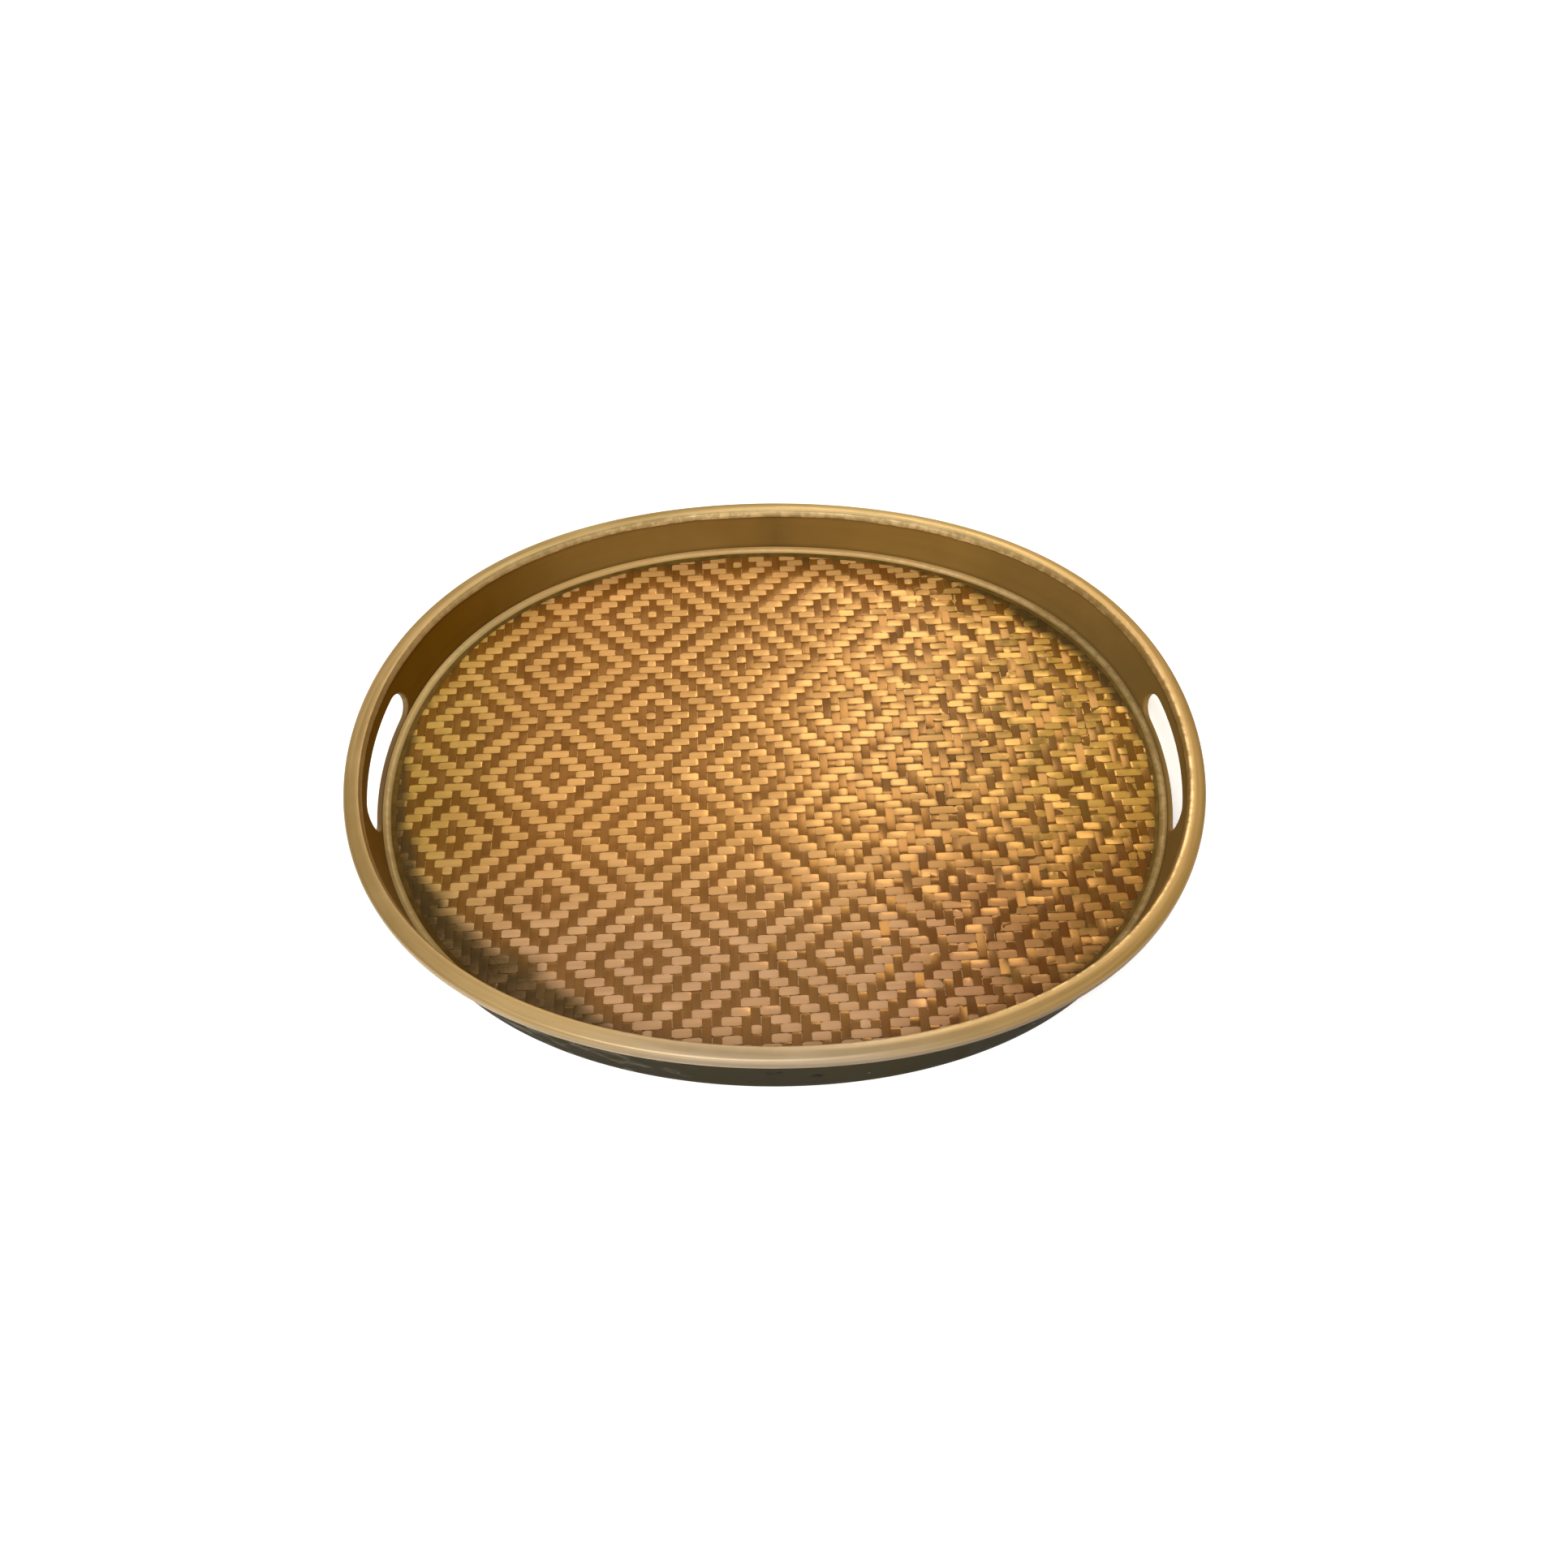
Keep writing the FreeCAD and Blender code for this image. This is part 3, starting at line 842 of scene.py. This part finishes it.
# A strand's width, how far its long edges lie below its middle, both in mm, and the share
# of its width that is left where it dives
WEFT_SHAPE = (4.97, 0.06, 0.86)
WARP_SHAPE = (5.02, 0.04, 0.96)
CROWN_POWER = 3.0
PROFILE_SIDES = (-0.485, -0.30, 0.0, 0.30, 0.485)  # places across it, in widths
# A strand's shape where it changes sides: place in pitches, height and width as shares
DIVE = ((-0.30, 1.0, 1.0), (-0.09, 0.45, 0.0), (0.09, 0.45, 0.0), (0.30, 1.0, 1.0))
FLOAT_PITCH = 0.026  # usual slopes of a float along and across itself
FLOAT_ROLL = 0.040
FLOAT_LIFT = 0.010  # usual lift of a float in mm, and change of its tone
FLOAT_TONE = 0.16
LOOSE_SHARE = 0.18  # share of floats that sit much more unevenly
LOOSE_FACTOR = 2.6
TIP_LEAN = 0.060  # usual lean of a float's lacquered face
DIVE_SHIFT = 0.03  # usual stray of a dive along the strand, in pitches
UNEVEN_START = 10.0  # mm along X from which the floats lie unevenly, and fully so
UNEVEN_FULL = 110.0
UNEVEN_LEAST = 0.25
SINGLE_CROSSING_HIGHLIGHT = 0.30  # painted highlight: how much lighter the tight bend of a single crossing is made, as it catches the light
STRAND_TONE = (0.5, 0.20)  # usual tone of a strand, and how far strands differ
STRAND_WIDTH_SPREAD = 0.018
STRAND_JITTER = 0.05  # mm, sideways, for a whole strand and again for each of its rows
WANDER = 0.16  # mm by which a strand swings from side to side
WANDER_LENGTHS = (12, 40)  # mm along the strand for one radian of that slow wave
TOP_MARGIN = 0.02  # mm by which an even float stays below the highest level allowed
SHORTEST_SPLINT = 8.0
OUTLINE_POINTS = 720
STRAND_UV_STEP = 13.7  # mm between the textures of neighbouring strands
SIDE_DARK = 0.14  # how dark a splint's long edges are, as a share of the gaps, as painted shade
GAP_START = -20.0  # mm along X from which the gaps' painted shade darkens, and fully so
GAP_FULL = 50.0
GAP_LEAST = 0.45  # how dark the gaps' painted shade is at the left, as a share
SIDE_SHADE_EXTRA = 0.70  # how dark the long edges are where the extra painted shade is thickest
GAP_SHADE_CENTRE = (84.0, 12.0)  # mm, in plan
GAP_SHADE_SPREAD = (52.0, 50.0)
SUNK_DARK = 0.30  # how dark a strand is where it passes under, as painted shade, and with the extra shade
SUNK_SHADE_EXTRA = 0.25

SHADOW_REACH = 2.2  # mm from the bead that the painted shadow reaches, and further round some directions of the plan
SHADOW_LOBES = ((9.0, 203, 24), (20.0, 231, 17), (9.0, 41, 14), (4.0, 20, 10))
SHADOW_STRENGTH = 1.30
SHADOW_MOST = 0.98


def zigzag(index, repeat):
    """Distance from the nearest multiple of repeat."""
    return abs((index + repeat // 2) % repeat - repeat // 2)


def weft_on_top(warp_index, weft_index):
    """The diamond twill: two over and two under, turned back at each diamond's middle."""
    step = (zigzag(warp_index, WARP_REPEAT) + zigzag(weft_index, WEFT_REPEAT)) % 4
    return step in (0, 3)


def mat_frame():
    """Unit vectors of the weave in plan: along the weft and along the warp."""
    c, s = math.cos(MAT_TURN), math.sin(MAT_TURN)
    return np.array([c, s]), np.array([-s, c])


def chord(outline, along, across, offset):
    """Where the line at an offset enters and leaves the outline, measured along it."""
    side = outline @ across - offset
    run = outline @ along
    following = np.roll(side, -1)
    crossing = np.nonzero(side * following < 0)[0]
    if len(crossing) < 2:
        return None
    share = side[crossing] / (side[crossing] - following[crossing])
    places = run[crossing] + (np.roll(run, -1)[crossing] - run[crossing]) * share
    return places.min(), places.max()


def unevenness(x):
    """How unevenly the floats lie at x mm: calm at the left, lively at the right."""
    return min(max((x - UNEVEN_START) / (UNEVEN_FULL - UNEVEN_START), UNEVEN_LEAST), 1.0)


def strand_rows(is_weft, offset, cells, over, start, low, high, waist, rng):
    """Rows across one strand: place along it, height, sideways slope, width, tone and the
    lean of its face along and across.
    """
    ends = [k for k in range(len(cells) - 1) if over[k] != over[k + 1]]
    first = [0] + [k + 1 for k in ends]
    last = ends + [len(cells) - 1]
    rows = []
    for number, (a, b) in enumerate(zip(first, last)):
        side = 1.0 if over[a] else -1.0
        middle = start + (cells[a] + cells[b]) / 2 * SPLINT_PITCH
        loose = LOOSE_FACTOR if rng.random() < LOOSE_SHARE else 1.0
        loose *= unevenness(middle if is_weft else offset)
        pitch = rng.normal(0, FLOAT_PITCH) * loose / (b - a + 1) ** 0.5
        roll = rng.normal(0, FLOAT_ROLL) * loose
        lift = rng.normal(0, FLOAT_LIFT)
        lean = rng.normal(0, TIP_LEAN, 2) * loose
        tone = rng.normal(0, FLOAT_TONE) + (SINGLE_CROSSING_HIGHLIGHT if a == b else 0.0)
        begin = start + (cells[a] - 0.5) * SPLINT_PITCH
        end = start + (cells[b] + 0.5) * SPLINT_PITCH
        shift = rng.normal(0, DIVE_SHIFT, 2) * SPLINT_PITCH
        spots = []
        if number > 0:
            spots += [(begin + shift[0] + d * SPLINT_PITCH, h, w) for d, h, w in DIVE[2:]]
        if number < len(first) - 1:
            spots += [(end + shift[1] + d * SPLINT_PITCH, h, w) for d, h, w in DIVE[:2]]
        if not spots:
            spots = [(middle, 1.0, 1.0)]
        for place, height, width in spots:
            level = side * height * SPLINT_THICKNESS / 2 + (place - middle) * pitch + lift
            rows.append((place, level, roll * height, waist + (1 - waist) * width, tone, *lean))
    rows = [r for r in rows if low < r[0] < high] or [rows[0]]
    return [(low, *rows[0][1:])] + rows + [(high, *rows[-1][1:])]


def splints(name, is_weft, material, replaced, seed):
    """All the strands of one direction, each going over and under the other direction."""
    rng = np.random.default_rng(seed)
    weft_way, warp_way = mat_frame()
    along, across = (weft_way, warp_way) if is_weft else (warp_way, weft_way)
    splint_width, crown, waist = WEFT_SHAPE if is_weft else WARP_SHAPE
    centre = np.array(MAT_CENTRE)
    start_along, start_across = centre @ along, centre @ across
    turns = np.linspace(0, TAU, OUTLINE_POINTS + 1)[:-1]
    outline = np.stack(oval(wall_inside(BOARD_TOP, turns) + MAT_EDGE_CLEARANCE, turns), axis=1)
    reach = int(2 * HALF_LENGTH / SPLINT_PITCH)
    middle_height = MAT_TOP - SPLINT_THICKNESS
    sides = np.array(PROFILE_SIDES)
    share = np.concatenate([[-0.5], sides, [0.5]])
    bow = -crown * np.abs(2 * sides) ** CROWN_POWER
    sag = np.concatenate([[-SPLINT_THICKNESS], bow, [-SPLINT_THICKNESS]])
    side_dark = np.array([1.0, SIDE_DARK, 0.0, 0.0, 0.0, SIDE_DARK, 1.0])
    side_shade_extra = np.array([0.0, SIDE_SHADE_EXTRA, 0.0, 0.0, 0.0, SIDE_SHADE_EXTRA, 0.0])
    count = len(share)
    points, uvs, faces, tones, edges, tips = [], [], [], [], [], []
    first = 0
    for index in range(-reach, reach + 1):
        offset = start_across + index * SPLINT_PITCH
        ends = [chord(outline, along, across, offset + k * splint_width / 2) for k in (-1, 1)]
        if None in ends:
            continue
        low = max(e[0] for e in ends)
        high = min(e[1] for e in ends)
        if high - low < SHORTEST_SPLINT:
            continue
        first_cell = math.floor((low - start_along) / SPLINT_PITCH + 0.5)
        last_cell = math.ceil((high - start_along) / SPLINT_PITCH - 0.5)
        cells = list(range(first_cell, last_cell + 1))
        over = [weft_on_top(c, index) if is_weft else not weft_on_top(index, c) for c in cells]
        rows = strand_rows(is_weft, offset, cells, over, start_along, low, high, waist, rng)
        runs, levels, rolls, widths, row_tones, lean_along, lean_across = np.array(rows).T
        full_width = splint_width * (1 + rng.normal(0, STRAND_WIDTH_SPREAD))
        drift = (WANDER * np.sin(runs / rng.uniform(*WANDER_LENGTHS) + rng.uniform(0, TAU))
                 + rng.normal(0, STRAND_JITTER) + rng.normal(0, STRAND_JITTER, len(runs)))
        across_run = share * full_width * widths[:, None]
        sideways = offset + drift[:, None] + across_run
        top = middle_height + SPLINT_THICKNESS / 2
        level = top - TOP_MARGIN + levels[:, None] - SPLINT_THICKNESS / 2
        rise = np.minimum(top, level + rolls[:, None] * across_run) + sag
        plan = runs[:, None, None] * along + sideways[:, :, None] * across
        tip = lean_along[:, None] * along + lean_across[:, None] * across
        tips.append(np.repeat(tip, count, axis=0))
        points.append(np.concatenate([plan, rise[:, :, None]], axis=2).reshape(-1, 3))
        u = np.repeat(runs, count)
        v = np.tile(share * full_width, len(runs)) + index * STRAND_UV_STEP
        uvs.append(np.stack([u, v], axis=1))
        strand_tone = rng.normal(*STRAND_TONE)
        tones.append(np.repeat(np.clip(strand_tone + row_tones, 0, 1), count))
        # Painted shade: along the long edges, stronger to the right and round one place, and where
        # a strand passes under
        sunk = np.clip(-levels / (SPLINT_THICKNESS / 2), 0, 1)
        shade_extra = np.exp(-(((plan - GAP_SHADE_CENTRE) / GAP_SHADE_SPREAD) ** 2).sum(axis=2))
        to_right = np.clip((plan[:, :, 0] - GAP_START) / (GAP_FULL - GAP_START), 0, 1)
        gap_share = GAP_LEAST + (1 - GAP_LEAST) * to_right
        dark = side_dark * gap_share + side_shade_extra * shade_extra
        dark = dark + (SUNK_DARK + SUNK_SHADE_EXTRA * shade_extra) * sunk[:, None]
        edges.append(np.clip(dark, 0, 1).ravel())
        for row in range(len(runs) - 1):
            a = first + row * count
            b = a + count
            for k in range(count - 1):
                faces.append((a + k, b + k, b + k + 1, a + k + 1))
        first += len(runs) * count
    points = np.concatenate(points)
    uvs = np.concatenate(uvs)
    if is_weft:
        faces = [tuple(reversed(f)) for f in faces]
    tips = np.concatenate(tips)
    values = {"tone": np.concatenate(tones), "edge": np.concatenate(edges),
              "stain": wall_shadow_mask(points), "tip_x": tips[:, 0], "tip_y": tips[:, 1]}
    return make_piece(name, points, faces, uvs, [material], replaced, values=values)


def wall_shadow_mask(points):
    """Painted shadow of the wall on the mat along the bead: its reach in mm differs round the mat.
    """
    x, y = points[:, 0], points[:, 1]
    wanted = np.arctan2(y / HALF_WIDTH, x / HALF_LENGTH)
    angle = wanted
    for _ in range(4):
        shape_x, shape_y = oval(0.0, angle)
        angle = angle + wanted - np.arctan2(shape_y / HALF_WIDTH, shape_x / HALF_LENGTH)
    edge = np.hypot(*oval(wall_inside(MAT_TOP, angle) + BEAD_WIDTH, angle))
    gap = np.clip(edge - np.hypot(x, y), 0, None)
    reach = SHADOW_REACH
    for further, centre, width in SHADOW_LOBES:
        reach = reach + further * lobe(angle, centre, width)
    reach *= 1 + 0.28 * waves(angle, 61, 8, 40, 10)
    return np.clip(SHADOW_STRENGTH * np.exp(-(gap / reach) ** 5), 0, SHADOW_MOST)


splints("weft_strands", True, LIGHT_SPLINT, ["mat_weft_splints"], 71)
splints("warp_strands", False, DARK_SPLINT, ["mat_warp_splints"], 72)


# ---- brad putty, and finishes for the nodes that keep their CAD shape ----

PUTTY_RINGS = ((0.0, 0.10), (0.45, 0.09), (0.8, 0.05), (1.0, -0.12))  # radius, and how proud
PUTTY_SPOKES = 20


def putty_spots():
    """Small domes of filler on the outer wall, one over each brad."""
    points, uvs, faces = [], [], []
    rings, spokes = PUTTY_RINGS, PUTTY_SPOKES
    for index in range(PIN_COUNT):
        angle = TAU * (index + 0.5) / PIN_COUNT
        here = np.array(oval(wall_outside(PIN_HEIGHT, angle), angle))
        ahead = np.array(oval(wall_outside(PIN_HEIGHT, angle + 0.01), angle + 0.01))
        along = (ahead - here) / np.linalg.norm(ahead - here)
        out = np.array([along[1], -along[0]])
        first = len(points)
        lean = END_LEAN * math.cos(angle) ** 2
        for radius, proud in rings:
            for spoke in range(spokes if radius else 1):
                turn = TAU * spoke / spokes
                side, rise = radius * math.cos(turn), radius * math.sin(turn)
                plan = here + along * side + out * (proud + lean * rise)
                points.append((plan[0], plan[1], PIN_HEIGHT + rise))
                uvs.append((side, rise))
        for spoke in range(spokes):
            following = (spoke + 1) % spokes
            faces.append((first, first + 1 + spoke, first + 1 + following))
            for ring in range(len(rings) - 2):
                a = first + 1 + ring * spokes
                faces.append((a + spoke, a + spokes + spoke, a + spokes + following, a + following))
    return make_piece("brad_putty_spots", points, faces, uvs, [PUTTY])


putty_spots()

for node, finish in (("floor_board", UNDERSIDE), ("cleat_back_half", UNDERSIDE),
                     ("cleat_front_half", UNDERSIDE), ("board_pins", STEEL)):
    for material_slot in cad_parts[node].material_slots:
        material_slot.material = finish


# ---- floor, light and camera ----

FLOOR_HALF = 4.0
FLOOR_DROP = 0.0002  # keeps the floor just clear of the tray's foot

# Name, place, target, width, height, power and colour
SOFTBOXES = (
    ("key_softbox", (0.305, 0.98, 1.30), (0.03, 0.0, 0.0), 0.46, 0.46, 10.2, (1.0, 0.82, 0.56)),
    ("back_softbox", (-0.16, 0.98, 1.36), (0.0, 0.0, 0.0), 0.80, 0.40, 2.6, (1.0, 0.86, 0.66)),
    ("overhead_softbox", (-0.1, -0.05, 1.5), (0.0, 0.0, 0.0), 1.3, 0.9, 5.0, (0.98, 0.97, 1.0)),
    ("front_softbox", (-0.12, -1.35, 0.50), (0.0, -0.1, 0.03), 0.6, 0.45, 5.0, (1.0, 0.95, 0.92)),
)
FILL_PLACE = (-0.16, -0.44, 0.86)
FILL_STRENGTH = 2.05
FILL_SPREAD = math.radians(24.0)
FILL_COLOUR = (1.0, 0.97, 0.93)
WORLD_COLOUR = (1.0, 0.98, 0.96, 1.0)
WORLD_STRENGTH = 0.16

CAMERA_PLACE = (0.00515, -0.38754, 0.58845)
CAMERA_TILT = math.radians(33.5)
CAMERA_LENS = 27.02
SENSOR_WIDTH = 36.0


def pale_floor():
    """Near-white paper that glows a little, so that it stays white in the picture."""
    g = Graph("pale_floor")
    cloud = g.cloud(3.0, 2.0, 0.5)
    colour = g.mix(g.band(cloud, 0.2, 0.8), (0.95, 0.95, 0.95), (0.98, 0.98, 0.98))
    return g.finish(colour, 0.85, Specular_IOR_Level=0.1, Emission_Color=(1.0, 1.0, 1.0, 1.0),
                    Emission_Strength=0.30)


def floor():
    mesh = bpy.data.meshes.new("studio_floor")
    corners = [(x * FLOOR_HALF, y * FLOOR_HALF, 0) for x, y in ((-1, -1), (1, -1), (1, 1), (-1, 1))]
    mesh.from_pydata(corners, [], [(0, 1, 2, 3)])
    mesh.materials.append(pale_floor())
    made = new_object("studio_floor", mesh)
    made.location.z = -FLOOR_DROP


def add_light(name, kind, place, target, power, colour, **settings):
    """Light at a place, turned to a target."""
    light = bpy.data.lights.new(name, kind)
    for key, value in settings.items():
        setattr(light, key, value)
    light.energy = power
    light.color = colour
    made = new_object(name, light)
    made.location = place
    made.rotation_euler = (Vector(target) - Vector(place)).to_track_quat("-Z", "Y").to_euler()


def lighting():
    for name, place, target, width, height, power, colour in SOFTBOXES:
        add_light(name, "AREA", place, target, power, colour, shape="RECTANGLE", size=width,
                  size_y=height)
    add_light("front_fill", "SUN", FILL_PLACE, (0, 0, 0), FILL_STRENGTH, FILL_COLOUR,
              angle=FILL_SPREAD)
    world = bpy.data.worlds.new("studio")
    world.use_nodes = True
    background = world.node_tree.nodes["Background"]
    background.inputs["Color"].default_value = WORLD_COLOUR
    background.inputs["Strength"].default_value = WORLD_STRENGTH
    bpy.context.scene.world = world


def camera():
    data = bpy.data.cameras.new("camera")
    data.lens = CAMERA_LENS
    data.sensor_width = SENSOR_WIDTH
    made = new_object("camera", data)
    made.location = CAMERA_PLACE
    made.rotation_euler = (CAMERA_TILT, 0.0, 0.0)
    bpy.context.scene.camera = made


floor()
lighting()
camera()
bpy.context.scene.view_settings.view_transform = "Standard"
